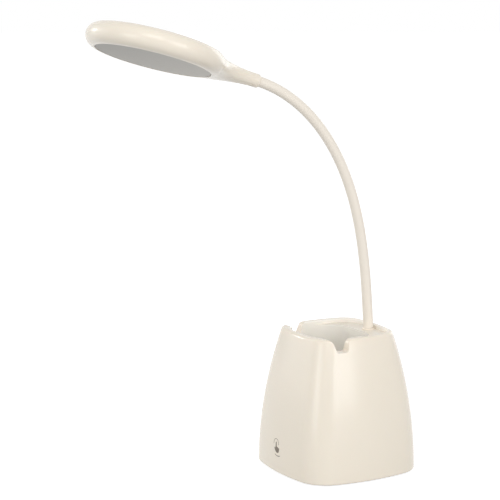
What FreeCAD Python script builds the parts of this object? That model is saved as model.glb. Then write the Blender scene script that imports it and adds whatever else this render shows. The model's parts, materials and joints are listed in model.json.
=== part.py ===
import FreeCAD, Part
import math
import os

from FreeCAD import Vector, Placement, Rotation

# LED desk lamp on a waisted pen-holder base, in millimetres.
# Origin: middle of the base on the table. +Z up, -Y is the front (touch mark), +Y the neck side.

# ---- base housing -------------------------------------------------------------------------
base_half_width = 49.7          # at the table
rim_half_width = 34.7           # the walls lean in to this on one arc, upright at the table
base_side_radius = 150.0        # gentle bulge of each side in plan, at the table
base_corner_radius = 23.0       # plan corner, at the table
rim_side_radius = 105.0         # the same two at the rim
rim_corner_radius = 15.5
rim_z = 101.0
housing_bottom_z = 1.0
housing_wall = 2.4
rim_round = 2.4
inner_rim_round = 1.2
foot_edge_round = 1.0

ledge_drop = 3.0                # sunk shelf that carries the neck, below the rim
ledge_thickness = 3.0
ledge_z = rim_z - ledge_drop
ceiling_z = ledge_z - ledge_thickness       # top of the hollow between wall and cup
ledge_margin = 3.1              # from the rim's outside to the shelf
ledge_rear_y = rim_half_width - ledge_margin
ledge_corner_radius = 16.5
neck_inset = 7.7                # from the rim at the rear
neck_root_y = rim_half_width - neck_inset

cup_side_margin = 5.1           # from the rim's outside to the cup's mouth
cup_front_margin = 4.7
cup_shelf_depth = 9.0           # from the cup's mouth back to the neck
cup_half_width = rim_half_width - cup_side_margin
cup_front_y = cup_front_margin - rim_half_width
cup_rear_y = neck_root_y - cup_shelf_depth
cup_flat = 8.6                  # half of the straight stretch between its front corners
cup_corner_radius = cup_half_width - cup_flat
cup_clearance = 0.75            # under the cup's floor, over the cell's wires
cup_draft = 2.0                 # how much narrower each side is at the floor
cup_wall = 2.2
cup_floor_round = 5.0

notch_y = -17.2                 # phone rests, cut through both side walls
notch_depth = 9.0
notch_floor_z = rim_z - notch_depth
notch_floor_half = 4.0
notch_lean_deg = 16.0
notch_lip_radius = 4.0
notch_root_radius = 1.2
notch_saddle = 2.4              # wall kept under and beside a rest

# ---- bottom cover and what stands on it ------------------------------------------------------
fit_gap = 0.3                   # lid in housing, board in slot
cover_bottom_z = 1.2
cover_thickness = 2.2
pad_inset = 4.2                 # of the rubber ring, from the foot of the walls
pad_half_width = base_half_width - pad_inset
pad_band = 3.0
pad_groove = 0.7
boss_inset = 18.7
boss_xy = base_half_width - boss_inset
boss_radius = 4.0
boss_stop = 15.6                # bosses die into the leaning corners, this far under the ceiling
boss_rib = 1.6
boss_rib_reach = 12.0           # past the post, into the corner
screw_shank_radius = 1.45
screw_clearance = 0.05
screw_head_radius = 2.8
screw_head_height = 1.6
bottom_screw_length = 10.0
screw_head_sink = 0.2           # head sits this far inside the cover's face
small_head_radius = 1.7         # board screws
small_head_height = 1.2
small_screw_length = 5.0

ballast_margin = 7.7            # ends, from the foot of the walls
ballast_length = 2 * (base_half_width - ballast_margin)
ballast_post_gap = 1.0          # behind the front screw bosses
ballast_height = 9.0
ballast_corner_radius = 4.0
ballast_chamfer = 0.6
ballast_screw_inset = 8.0
ballast_screw_x = ballast_length / 2 - ballast_screw_inset
ballast_boss_radius = 3.5
ballast_boss_height = 4.0

cell_radius = 9.2
cell_length = 65.0
cell_board_gap = 3.5            # between the cell's holder and the control board
cell_cap_radius = 3.0
cell_cap = 1.2
cell_edge_round = 0.8
cell_slack = 0.1                # all round, in the holder
holder_wall = 1.4
holder_side_height = 9.0
holder_window = 0.6             # share of the length left open at the sides
holder_sill = 4.0

board_thickness = 1.6
board_length = 44.0
board_depth = 15.0
board_z = 8.0
board_post_radius = 2.5
board_post_inset = 3.2
board_pilot_floor = 1.0         # solid left under a post's hole
board_screw_radius = 0.9

socket_width = 9.0
socket_height = 3.2
socket_length = 7.4
socket_skin = 0.35
socket_recess = 0.6             # mouth sits this far inside the rear wall
socket_back = 0.8
tongue_width = 6.4
tongue_thickness = 0.7
tongue_inset = 1.0

touch_z = 20.0
touch_pad_radius = 6.0
touch_pad_thickness = 0.4
touch_pad_gap = 0.05            # glue between pad and wall
touch_board_size = 16.0
touch_board_thickness = 1.2
touch_board_back = 7.1          # behind the inside of the front wall
touch_leaf_width = 4.0
touch_leaf_thickness = 0.4
touch_leaf_rise = 5.0           # foot to crest, up the touch board
slot_grip = 1.2                 # posts lap over the touch board's edges
slot_wall = 1.5
slot_height = 12.0

chip_size = (6.0, 5.0, 1.4)
chip_x = -12.5
coil_radius = 3.0
coil_height = 3.2
coil_x = 11.0
capacitor_size = (1.6, 2.5, 1.0)
capacitor_x = (-6.4, -4.0, 5.4)

lead_radius = 0.6
lead_touch = 0.05               # wires lie this far off what they are soldered to
battery_lead_bend = 1.6
battery_lead_inset = 4.0        # from each end of the cell
battery_pad_x = 8.5
battery_pad_y = 1.5             # behind the board's front edge
battery_pad_length = 2.5
neck_lead_bend = 6.0
neck_lead_x = 0.8               # each side of the hose's middle
neck_pad_x = 2.0
neck_pad_y = 4.5
neck_lead_drop = 10.0           # straight below the ferrule
neck_lead_rise = 12.0           # straight above the board

# ---- neck ---------------------------------------------------------------------------------
neck_length = 217.0             # along its middle, ledge to collar
neck_root_lean_deg = 3.5        # from upright, at the ledge
neck_curl_power = 2.0           # how late the bend comes
neck_spans = 10                 # one bending place in the middle of each
neck_swing_deg = -2.5           # how far round from square the bent neck and the head stand
sleeve_radius = 3.65
sleeve_bore = 2.95
core_radius = 2.25
core_land = 1.5                 # wound hose: width of a turn
core_groove = 0.35
ball_radius = 2.1
ball_gap = 0.06
ball_neck_radius = 1.15
ball_points = 8                 # facets on each ball and bowl outline
ball_neck_taper = 0.6
socket_outer_radius = 2.55
socket_lip = 0.6
socket_floor = 1.2              # solid behind the bowl
shoulder = 3.2                  # from ball centre to the body of the link
lead_bore = 0.7

ferrule_flange_radius = 4.7
ferrule_flange = 1.0
ferrule_radius = 3.0
ferrule_length = 14.0
ferrule_hole_gap = 0.2
ferrule_edge_round = 0.45
ferrule_bore = 1.5
ferrule_seat_gap = 0.1          # below the hose's first link
sleeve_start_gap = 0.35         # above the flange
washer_radius = 6.0
washer_thickness = 1.0
nut_across_flats = 9.0
nut_height = 3.0

# ---- head ---------------------------------------------------------------------------------
head_tilt_deg = 17.5            # tip raised
head_roll_deg = 4.6             # +X edge raised
head_edge_radius = 7.7          # full round rim, half as high as the rim
head_rim_centre = 39.9          # radius at which that round is centred
head_radius = head_rim_centre + head_edge_radius
tail_length = 31.8              # from the disc's edge to the collar's mouth
head_reach = head_radius + tail_length
head_crown_radius = 480.0
head_wall = 2.0
tail_root = 25.6                # first section of the tail, buried this deep in the disc
tail_fall = 11.6                # from this depth its top and bottom draw together
tail_root_y = head_radius - tail_root
tail_fall_y = head_radius - tail_fall
tail_tuck = 0.15                # how far its root stays inside the disc
tail_sections = 7
tail_squareness = 3.0           # superellipse power beside the disc, 2 at the collar
section_points = 8              # on each half of a section
tail_wall_depth = 22.4          # from the collar's mouth in to the wall the neck's nut bears on
tail_hollow_end_y = head_reach - tail_wall_depth
collar_height = 8.4             # collar's axis above the lamp face
collar_radius = 4.8
collar_straight = 3.0
collar_bore = 3.75
collar_edge_round = 0.8
diffuser_margin = 0.3           # flat of the face left around it
diffuser_radius = head_rim_centre - diffuser_margin
diffuser_thickness = 1.8
diffuser_gap = 0.15
diffuser_sink = 0.15
diffuser_edge_round = 0.4
seat_lap = 2.2                  # under the diffuser's edge
seat_radius = diffuser_radius - seat_lap
seat_thickness = 1.4

tray_thickness = 0.8
tray_foot = 1.2                 # flange on the seat
led_board_inset = 3.4           # inside the seat
led_board_radius = seat_radius - led_board_inset
tray_lap = 1.0                  # of its top edge under the board
tray_top_radius = led_board_radius - tray_lap
led_board_thickness = 1.2
led_board_level = 10.2
led_inner_ring = 12.0
led_outer_inset = 8.0           # of the outer ring, from the board's edge
led_outer_ring = led_board_radius - led_outer_inset
led_counts = (6, 14)
led_size = (2.8, 3.5, 0.8)
board_boss_radius = 2.4
board_boss_inset = 14.0         # from the board's edge
board_boss_circle = led_board_radius - board_boss_inset
hose_end = 6.0                  # hose and sleeve reach this far into the collar
insert_flange_radius = 3.6
insert_flange = 1.5
insert_stem_radius = 2.7
insert_bore = 1.7
insert_gap = 0.1
head_washer_radius = 3.7
head_washer_thickness = 0.8
head_nut_across_flats = 7.0
head_nut_height = 2.4
insert_thread_out = 1.0         # stem that shows past the nut
head_lead_bend = 4.0
head_pad_x = 1.4
head_lead_ramp = 9.5            # in front of the LED board, where the wires start to rise
head_pad_reach = 7.0            # pads lie this far in from the LED board's edge
nut_slack = 0.05
past = 1.0                      # cutters run this far past what they cut
level_slack = 0.02              # an edge this near a height lies at it

UP = Vector(0, 0, 1)
RIGHT = Vector(1, 0, 0)
REAR = Vector(0, 1, 0)
parts = {}


# ---- shared helpers -------------------------------------------------------------------------
def cylinder(radius, height, base, direction=UP):
    return Part.makeCylinder(radius, height, base, direction)


def box(low, high):
    size = high.sub(low)
    return Part.makeBox(size.x, size.y, size.z, low)


def arc(a, b, c):
    return Part.Arc(a, b, c).toShape()


def line(a, b):
    return Part.LineSegment(a, b).toShape()


def polygon_face(points):
    return Part.Face(Part.makePolygon(points + points[:1]))


def revolve(points, axis_point=Vector(0, 0, 0), axis=UP):
    return polygon_face(points).revolve(axis_point, axis, 360)


def polar(radius, angle_deg, z=0.0):
    a = math.radians(angle_deg)
    return Vector(radius * math.cos(a), radius * math.sin(a), z)


def bulged_square(half, side_radius, corner_radius, z):
    """Closed outline of four gentle side arcs and four tangent corner arcs."""
    reach = side_radius - half
    spread = side_radius - corner_radius
    corner = (-reach + math.sqrt(2 * spread**2 - reach**2)) / 2
    lean = math.atan2(corner, corner + reach)
    tangent = Vector(side_radius * math.cos(lean) - reach, side_radius * math.sin(lean), 0)
    tip = corner + corner_radius * math.sqrt(0.5)
    edges = []
    for quarter in range(4):
        turn = Rotation(UP, 90 * quarter)
        low = turn.multVec(Vector(tangent.x, -tangent.y, 0))
        high = turn.multVec(tangent)
        after = turn.multVec(Vector(tangent.y, tangent.x, 0))
        edges.append(arc(low, turn.multVec(Vector(half, 0, 0)), high))
        edges.append(arc(high, turn.multVec(Vector(tip, tip, 0)), after))
    wire = Part.Wire(edges)
    wire.translate(Vector(0, 0, z))
    return wire


def soft_rectangle(half_x, front_y, rear_y, front_radius, rear_radius, z):
    """Rectangle in plan with one corner radius at the front and one at the rear."""
    k = math.sqrt(0.5)
    fr, rr = front_radius, rear_radius
    corners = [
        (Vector(half_x - rr, rear_y - rr, 0), rr, 0),
        (Vector(-half_x + rr, rear_y - rr, 0), rr, 90),
        (Vector(-half_x + fr, front_y + fr, 0), fr, 180),
        (Vector(half_x - fr, front_y + fr, 0), fr, 270),
    ]
    arcs = []
    for centre, radius, start in corners:
        arcs.append([centre + polar(radius, start + d) for d in (0, 45, 90)])
    edges = []
    for number, (a, b, c) in enumerate(arcs):
        edges.append(arc(a, b, c))
        following = arcs[(number + 1) % 4][0]
        if c.distanceToPoint(following) > 1e-6:
            edges.append(line(c, following))
    wire = Part.Wire(edges)
    wire.translate(Vector(0, 0, z))
    return wire


def prism(wire, height):
    return Part.Face(wire).extrude(Vector(0, 0, height))


def wall_half_width(z):
    return base_half_width - (base_half_width - rim_half_width) * (max(z, 0.0) / rim_z) ** 2


def wall_outline(z, inset=0.0):
    """Outside of the housing at a height, moved inwards by the inset."""
    share = (max(z, 0.0) / rim_z) ** 2
    side = base_side_radius + share * (rim_side_radius - base_side_radius)
    corner = base_corner_radius + share * (rim_corner_radius - base_corner_radius)
    return bulged_square(wall_half_width(z) - inset, side - inset, corner - inset, z)


def waisted_body(low_z, high_z, inset=0.0, steps=4):
    levels = [low_z + (high_z - low_z) * i / steps for i in range(steps + 1)]
    return Part.makeLoft([wall_outline(z, inset) for z in levels], True, False)


def edges_at(shape, z, keep=lambda edge: True):
    """Edges that lie level at a height."""
    low, high = z - level_slack, z + level_slack
    flat = [e for e in shape.Edges if e.BoundBox.ZMin > low and e.BoundBox.ZMax < high]
    return [e for e in flat if keep(e)]


def lead(points, bend, radius=lead_radius):
    """Insulated wire along straight runs with a tangent arc at each turn."""
    edges, start = [], points[0]
    for before, corner, after in zip(points, points[1:], points[2:]):
        arriving = (corner - before).normalize()
        leaving = (after - corner).normalize()
        half_turn = arriving.getAngle(leaving) / 2
        back = bend * math.tan(half_turn)
        a, c = corner - arriving * back, corner + leaving * back
        inward = (leaving - arriving).normalize()
        b = corner + inward * (bend / math.cos(half_turn) - bend)
        edges += [line(start, a), arc(a, b, c)]
        start = c
    edges.append(line(start, points[-1]))
    heading = (points[1] - points[0]).normalize()
    section = Part.Wire([Part.makeCircle(radius, points[0], heading)])
    return Part.Wire(edges).makePipeShell([section], True, False)


def screw(length, shank, head, head_height):
    """Pan-head screw standing head-down at the origin, shank going up; cross recess in its head."""
    face, crown, tip = head * 0.7, head_height * 0.6, shank * 0.2
    body = revolve([
        Vector(0, 0, 0), Vector(face, 0, 0), Vector(head, 0, crown),
        Vector(head, 0, head_height), Vector(shank, 0, head_height),
        Vector(shank, 0, length - shank), Vector(tip, 0, length), Vector(0, 0, length),
    ])
    arm, half_slot, depth = head * 0.6, head * 0.16, head_height * 0.55
    long_way = box(Vector(-arm, -half_slot, -1), Vector(arm, half_slot, depth))
    short_way = box(Vector(-half_slot, -arm, -1), Vector(half_slot, arm, depth))
    return body.cut(long_way.fuse(short_way))


def group(shapes):
    return Part.makeCompound(shapes)


def at(shape, position, rotation=Rotation()):
    copy = shape.copy()
    copy.Placement = Placement(position, rotation).multiply(copy.Placement)
    return copy


# ---- base -----------------------------------------------------------------------------------
def cup_floor_z():
    """The floor clears the cell's wires, which run under it."""
    return cell_lead_z() + lead_radius + cup_clearance + cup_wall


def cup_outline(z, grow=0.0):
    share = (ledge_z - z) / (ledge_z - cup_floor_z())
    inset = cup_draft * share - grow
    radius = cup_corner_radius - inset
    front, rear = cup_front_y + inset, cup_rear_y - inset
    return soft_rectangle(cup_half_width - inset, front, rear, radius, radius, z)


def mouth_outline(z):
    """Inside of the rim, round the cup and the neck's shelf."""
    return soft_rectangle(cup_half_width, cup_front_y, ledge_rear_y,
                          cup_corner_radius, ledge_corner_radius, z)


def cup_space():
    space = Part.makeLoft([cup_outline(cup_floor_z()), cup_outline(ledge_z)], True, False)
    space = space.makeFillet(cup_floor_round, edges_at(space, cup_floor_z()))
    return space, prism(mouth_outline(ledge_z), ledge_drop + past)


def notch_profile():
    """Trapezoid with rounded roots and rolled lips, across the whole base."""
    lean = math.radians(notch_lean_deg)
    root_back = notch_root_radius * math.tan((math.pi / 2 - lean) / 2)
    lip_back = notch_lip_radius * math.tan((math.pi / 2 - lean) / 2)
    wall_top = notch_floor_half + notch_depth * math.tan(lean)
    slope = Vector(0, math.sin(lean), math.cos(lean))
    foot = Vector(0, notch_floor_half, notch_floor_z)
    brow = Vector(0, wall_top, rim_z)
    a = foot - Vector(0, root_back, 0)
    c = foot + slope * root_back
    b = a + Vector(0, notch_root_radius * math.sin(math.pi / 4 - lean / 2),
                   notch_root_radius * (1 - math.cos(math.pi / 4 - lean / 2)))
    d = brow - slope * lip_back
    f = brow + Vector(0, lip_back, 0)
    e = f + Vector(0, -notch_lip_radius * math.sin(math.pi / 4 - lean / 2),
                   -notch_lip_radius * (1 - math.cos(math.pi / 4 - lean / 2)))
    right = [a, b, c, d, e, f]
    left = [Vector(0, -p.y, p.z) for p in right]
    top = Vector(0, f.y, rim_z + past)
    edges = [
        line(left[0], right[0]), arc(right[0], right[1], right[2]), line(right[2], right[3]),
        arc(right[3], right[4], right[5]), line(right[5], top), line(top, Vector(0, -top.y, top.z)),
        line(Vector(0, -top.y, top.z), left[5]), arc(left[5], left[4], left[3]),
        line(left[3], left[2]), arc(left[2], left[1], left[0]),
    ]
    return Part.Face(Part.Wire(edges))


def notch_cutter():
    reach = base_half_width + past
    profile = notch_profile()
    profile.translate(Vector(-reach, notch_y, 0))
    return profile.extrude(Vector(2 * reach, 0, 0))


def notch_saddles():
    half = notch_floor_half + notch_depth * math.tan(math.radians(notch_lean_deg)) + notch_lip_radius
    return box(Vector(-base_half_width, notch_y - half, notch_floor_z - notch_saddle),
               Vector(base_half_width, notch_y + half, rim_z))


def boss_places():
    return [Vector(sx * boss_xy, sy * boss_xy, 0) for sx in (-1, 1) for sy in (-1, 1)]


def socket_place():
    middle_z = board_z + board_thickness + socket_height / 2
    return Vector(0, wall_half_width(board_z) - socket_recess, middle_z)


def stadium(width, height, length, mouth):
    """Flat-topped oval bar lying along Y, its rear end at the given middle point."""
    radius = height / 2
    half = width / 2 - radius
    top, low = Vector(half, 0, radius), Vector(half, 0, -radius)
    edges = [
        line(Vector(-half, 0, -radius), low), arc(low, Vector(half + radius, 0, 0), top),
        line(top, Vector(-half, 0, radius)),
        arc(Vector(-half, 0, radius), Vector(-half - radius, 0, 0), Vector(-half, 0, -radius)),
    ]
    bar = Part.Face(Part.Wire(edges)).extrude(Vector(0, -length, 0))
    return at(bar, mouth)


def screw_boss(place):
    """Post for a bottom screw with a thin rib out to the corner."""
    post_base = place + Vector(0, 0, cover_top_z())
    boss_height = ceiling_z - boss_stop - cover_top_z()
    post = cylinder(boss_radius, boss_height, post_base)
    rib_length = boss_radius + boss_rib_reach
    rib = box(Vector(0, -boss_rib / 2, 0), Vector(rib_length, boss_rib / 2, boss_height))
    outward = math.degrees(math.atan2(place.y, place.x))
    return post.fuse(at(rib, post_base, Rotation(UP, outward)))


def base_housing():
    outer = waisted_body(housing_bottom_z, rim_z)
    outer = outer.makeFillet(rim_round, edges_at(outer, rim_z))
    outer = outer.makeFillet(foot_edge_round, edges_at(outer, housing_bottom_z))
    cup, mouth = cup_space()
    hollow = waisted_body(housing_bottom_z - past, ceiling_z, housing_wall)
    cup_levels = (cup_floor_z() - cup_wall, ledge_z)
    cup_shell = Part.makeLoft([cup_outline(z, cup_wall) for z in cup_levels], True, False)
    hollow = hollow.cut(cup_shell).cut(notch_saddles())
    for place in boss_places():
        hollow = hollow.cut(screw_boss(place))
    body = outer.cut(mouth)
    body = body.makeFillet(inner_rim_round, edges_at(body, rim_z, on_mouth))
    body = body.cut(cup).cut(hollow).cut(notch_cutter())
    for place in boss_places():
        pilot_top = place + Vector(0, 0, screw_seat_z() + bottom_screw_length + past)
        pilot = cylinder(screw_shank_radius + screw_clearance, pilot_top.z, place)
        body = body.cut(pilot)
    neck_hole = cylinder(ferrule_radius + ferrule_hole_gap, rim_z - ceiling_z + past,
                         Vector(0, neck_root_y, ceiling_z - past))
    body = body.cut(neck_hole)
    port = stadium(socket_width + 2 * fit_gap, socket_height + 2 * fit_gap, socket_length,
                   Vector(0, socket_recess + past, 0))
    return body.cut(at(port, socket_place()))


def on_mouth(edge):
    middle = edge.valueAt((edge.FirstParameter + edge.LastParameter) / 2)
    return mouth_outline(rim_z).distToShape(Part.Vertex(middle))[0] < level_slack


def cover_top_z():
    return cover_bottom_z + cover_thickness


def board_rear_y():
    """The board's rear corners just clear the bulged wall."""
    bulge = base_side_radius - housing_wall
    bow = bulge - math.sqrt(bulge**2 - (board_length / 2) ** 2)
    return wall_half_width(board_z + board_thickness) - housing_wall - bow - fit_gap


def board_posts():
    y_low = board_rear_y() - board_depth + board_post_inset
    y_high = board_rear_y() - board_post_inset
    x = board_length / 2 - board_post_inset
    return [Vector(sx * x, y, cover_top_z()) for sx in (-1, 1) for y in (y_low, y_high)]


def ballast_ends_y():
    """The plate fills the floor from the front screw bosses back to the cell's holder."""
    return boss_radius + ballast_post_gap - boss_xy, cell_y() - holder_half_depth() - fit_gap


def ballast_middle_y():
    front, rear = ballast_ends_y()
    return (front + rear) / 2


def bottom_cover():
    plate = prism(wall_outline(cover_bottom_z, housing_wall + fit_gap), cover_thickness)
    plate = plate.cut(pad_ring())
    for place in boss_places():
        seat = cylinder(screw_head_radius + fit_gap, screw_seat_z() + screw_head_height, place)
        hole = cylinder(screw_shank_radius + fit_gap, cover_top_z() + past, place)
        plate = plate.cut(seat).cut(hole)
    for place in board_posts():
        plate = plate.fuse(cylinder(board_post_radius, board_z - cover_top_z(), place))
        pilot_base = place + Vector(0, 0, board_pilot_floor)
        plate = plate.cut(cylinder(board_screw_radius + screw_clearance, board_z, pilot_base))
    for sx in (-1, 1):
        foot = Vector(sx * ballast_screw_x, ballast_middle_y(), cover_top_z())
        plate = plate.fuse(cylinder(ballast_boss_radius, ballast_boss_height, foot))
        plate = plate.cut(cylinder(screw_shank_radius + screw_clearance, ballast_boss_height, foot))
        plate = plate.fuse(slot_post(sx))
    return plate.removeSplitter()


def slot_post(side):
    """Upright channel that grips one edge of the touch board."""
    inner = side * (touch_board_size / 2 - slot_grip)
    outer = side * (touch_board_size / 2 + fit_gap + slot_wall)
    front = touch_board_y() - fit_gap - slot_wall
    rear = touch_board_y() + touch_board_thickness + fit_gap + slot_wall
    low = Vector(min(inner, outer), front, cover_top_z())
    high = Vector(max(inner, outer), rear, cover_top_z() + slot_height)
    return box(low, high).cut(touch_board(fit_gap))


def pad_ring(level=0.0):
    corner = base_corner_radius
    outer = bulged_square(pad_half_width, base_side_radius, corner, level)
    inner = bulged_square(pad_half_width - pad_band, base_side_radius, corner - pad_band, level)
    height = cover_bottom_z + pad_groove - level
    return prism(outer, height).cut(prism(inner, height))


def screw_seat_z():
    """Underside of the bottom screw heads, just inside the cover's face."""
    return cover_bottom_z + screw_head_sink


def bottom_screws():
    one = screw(bottom_screw_length, screw_shank_radius, screw_head_radius, screw_head_height)
    return group([at(one, place + Vector(0, 0, screw_seat_z())) for place in boss_places()])


def ballast_plate():
    front, rear = ballast_ends_y()
    low = Vector(-ballast_length / 2, front, cover_top_z())
    high = Vector(ballast_length / 2, rear, cover_top_z() + ballast_height)
    plate = box(low, high)
    upright = [e for e in plate.Edges if e.BoundBox.ZLength > ballast_height / 2]
    plate = plate.makeFillet(ballast_corner_radius, upright)
    plate = plate.makeChamfer(ballast_chamfer, edges_at(plate, high.z))
    for sx in (-1, 1):
        foot = Vector(sx * ballast_screw_x, ballast_middle_y(), cover_top_z())
        plate = plate.cut(cylinder(ballast_boss_radius + fit_gap, ballast_boss_height + fit_gap, foot))
        plate = plate.cut(cylinder(screw_shank_radius + fit_gap, ballast_height + past, foot))
    return plate


def ballast_screws():
    one = screw(ballast_height, screw_shank_radius, screw_head_radius, screw_head_height)
    over = Rotation(RIGHT, 180)
    top = cover_top_z() + ballast_height + screw_head_height
    places = [Vector(sx * ballast_screw_x, ballast_middle_y(), top) for sx in (-1, 1)]
    return group([at(one, place, over) for place in places])


def holder_half_depth():
    return cell_radius + cell_slack + holder_wall


def cell_y():
    """The cell lies in its holder just in front of the control board."""
    return board_rear_y() - board_depth - cell_board_gap - holder_half_depth()


def cell_centre_z():
    return cover_top_z() + holder_wall + cell_slack + cell_radius


def cell_lead_z():
    """Middle of the wires that start on top of the cell."""
    return cell_centre_z() + cell_radius + lead_radius + lead_touch


def battery_cell():
    start = Vector(-cell_length / 2, cell_y(), cell_centre_z())
    can = cylinder(cell_radius, cell_length - cell_cap, start, RIGHT)
    can = can.makeFillet(cell_edge_round, [e for e in can.Edges if isinstance(e.Curve, Part.Circle)])
    cap = cylinder(cell_cap_radius, cell_cap, start + Vector(cell_length - cell_cap, 0, 0), RIGHT)
    return can.fuse(cap)


def battery_holder():
    half = cell_length / 2 + cell_slack
    depth = holder_half_depth()
    low = Vector(-half - holder_wall, cell_y() - depth, cover_top_z())
    high = Vector(half + holder_wall, cell_y() + depth, cover_top_z() + holder_side_height)
    well = cylinder(cell_radius + cell_slack, 2 * half, Vector(-half, cell_y(), cell_centre_z()), RIGHT)
    gap = half * holder_window
    window = box(Vector(-gap, low.y - past, cover_top_z() + holder_sill),
                 Vector(gap, high.y + past, high.z + past))
    return box(low, high).cut(well).cut(window)


def control_board():
    low = Vector(-board_length / 2, board_rear_y() - board_depth, board_z)
    board = box(low, Vector(board_length / 2, board_rear_y(), board_z + board_thickness))
    for place in board_posts():
        board = board.cut(cylinder(board_screw_radius + fit_gap, board_z, place))
    return board


def block_on_board(size, x, y):
    low = Vector(x - size[0] / 2, y - size[1] / 2, board_z + board_thickness)
    return box(low, low + Vector(*size))


def board_components():
    middle = board_rear_y() - board_depth / 2
    front_row = middle - board_depth / 4
    coil = cylinder(coil_radius, coil_height, Vector(coil_x, middle, board_z + board_thickness))
    capacitors = [block_on_board(capacitor_size, x, front_row) for x in capacitor_x]
    return group([block_on_board(chip_size, chip_x, middle), coil] + capacitors)


def board_screws():
    one = screw(small_screw_length, board_screw_radius, small_head_radius, small_head_height)
    top = board_z + board_thickness + small_head_height
    return group([at(one, Vector(p.x, p.y, top), Rotation(RIGHT, 180)) for p in board_posts()])


def usb_socket():
    mouth = socket_place()
    shell = stadium(socket_width, socket_height, socket_length, mouth)
    inside = stadium(socket_width - 2 * socket_skin, socket_height - 2 * socket_skin,
                     socket_length - socket_back + past, mouth + Vector(0, past, 0))
    low = mouth + Vector(-tongue_width / 2, -socket_length, -tongue_thickness / 2)
    high = mouth + Vector(tongue_width / 2, -tongue_inset, tongue_thickness / 2)
    return shell.cut(inside).fuse(box(low, high))


def pad_front_y():
    """Inside of the front wall, less the glue, level with the top of the pad."""
    return housing_wall + touch_pad_gap - wall_half_width(touch_z + touch_pad_radius)


def touch_pad():
    return cylinder(touch_pad_radius, touch_pad_thickness, Vector(0, pad_front_y(), touch_z), REAR)


def touch_board_y():
    return touch_board_back + housing_wall - wall_half_width(touch_z)


def touch_board(gap=0.0):
    low = Vector(-touch_board_size / 2 - gap, touch_board_y() - gap, cover_top_z())
    high = Vector(touch_board_size / 2 + gap, touch_board_y() + touch_board_thickness + gap,
                  touch_z + touch_board_size / 2)
    return box(low, high)


def touch_spring():
    """Leaf bent like a C, from the touch board to the back of the pad."""
    pad_back = pad_front_y() + touch_pad_thickness
    reach = touch_board_y() - pad_back
    foot = touch_z - touch_leaf_rise / 2
    crest = foot + touch_leaf_rise
    outer, inner = [], []
    for offset, row in ((0.0, outer), (touch_leaf_thickness, inner)):
        bend = reach / 2 - offset
        middle = touch_board_y() - reach / 2
        row.append(Vector(0, touch_board_y() - offset, foot))
        row.append(Vector(0, middle + bend, crest))
        row.append(Vector(0, middle, crest + bend))
        row.append(Vector(0, middle - bend, crest))
        row.append(Vector(0, middle - bend, touch_z))
    edges = []
    for row in (outer, inner):
        edges += [line(row[0], row[1]), arc(row[1], row[2], row[3]), line(row[3], row[4])]
    edges += [line(outer[0], inner[0]), line(outer[4], inner[4])]
    leaf = Part.Face(Part.Wire(Part.sortEdges(edges)[0]))
    leaf.translate(Vector(-touch_leaf_width / 2, 0, 0))
    return leaf.extrude(Vector(touch_leaf_width, 0, 0))


def battery_leads():
    on_board = board_z + board_thickness + lead_radius + lead_touch
    end = cell_length / 2 - battery_lead_inset
    pad_y = board_rear_y() - board_depth + battery_pad_y
    shapes = []
    for side in (-1, 1):
        points = [
            Vector(side * end, cell_y(), cell_lead_z()),
            Vector(side * end, cell_y() + cell_radius, cell_lead_z()),
            Vector(side * battery_pad_x, pad_y, on_board),
            Vector(side * battery_pad_x, pad_y + battery_pad_length, on_board),
        ]
        shapes.append(lead(points, battery_lead_bend))
    return group(shapes)


def neck_leads():
    on_board = board_z + board_thickness + lead_touch
    pad_y = board_rear_y() - board_depth + neck_pad_y
    start = ledge_z + ferrule_flange - ferrule_length - lead_touch
    shapes = []
    for side in (-1, 1):
        points = [
            Vector(side * neck_lead_x, neck_root_y, start),
            Vector(side * neck_lead_x, neck_root_y, start - neck_lead_drop),
            Vector(side * neck_pad_x, pad_y, on_board + neck_lead_rise),
            Vector(side * neck_pad_x, pad_y, on_board),
        ]
        shapes.append(lead(points, neck_lead_bend))
    return group(shapes)


# ---- neck -----------------------------------------------------------------------------------
def neck_lean(share):
    """Angle from upright, in radians, at a share of the neck's length."""
    start = math.radians(neck_root_lean_deg)
    end = math.radians(90 - head_tilt_deg)
    return start + (end - start) * share**neck_curl_power


def swing():
    """Turn of the whole neck and head about the upright line through the neck's foot."""
    return Placement(Vector(), Rotation(UP, neck_swing_deg), Vector(0, neck_root_y, 0))


def swung(shape):
    copy = shape.copy()
    copy.Placement = swing().multiply(copy.Placement)
    return copy


def tangent_at(lean):
    return Vector(0, -math.sin(lean), math.cos(lean))


def neck_path():
    """One tangent arc per span, as (start, middle, end, lean at start, lean at end, radius)."""
    step = neck_length / neck_spans
    here = Vector(0, neck_root_y, ledge_z)
    spans = []
    for number in range(neck_spans):
        a = neck_lean(number / neck_spans)
        b = neck_lean((number + 1) / neck_spans)
        radius = step / (b - a)
        centre = here + Vector(0, -math.cos(a), -math.sin(a)) * radius
        middle = centre - Vector(0, -math.cos((a + b) / 2), -math.sin((a + b) / 2)) * radius
        end = centre - Vector(0, -math.cos(b), -math.sin(b)) * radius
        spans.append((here, middle, end, a, b, centre))
        here = end
    return spans


def sleeve(number, spans):
    start, middle, end, a, b, centre = spans[number]
    start_trim = 0.0
    if number == 0:
        start_trim = math.asin((ferrule_flange + sleeve_start_gap) / centre.distanceToPoint(start))
    ring_at = Rotation(RIGHT, math.degrees(start_trim))
    first = centre + ring_at.multVec(start - centre)
    heading = tangent_at(a + start_trim)
    outer = Part.Face(Part.Wire([Part.makeCircle(sleeve_radius, first, heading)]))
    inner = Part.Face(Part.Wire([Part.makeCircle(sleeve_bore, first, heading)]))
    ring = outer.cut(inner)
    tube = ring.revolve(centre, RIGHT, math.degrees(b - a - start_trim))
    if number == neck_spans - 1:
        last = tangent_at(b)
        tail = cylinder(sleeve_radius, hose_end, end, last)
        tail = tail.cut(cylinder(sleeve_bore, hose_end, end, last))
        tube = tube.fuse(tail).removeSplitter()
    return tube


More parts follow.
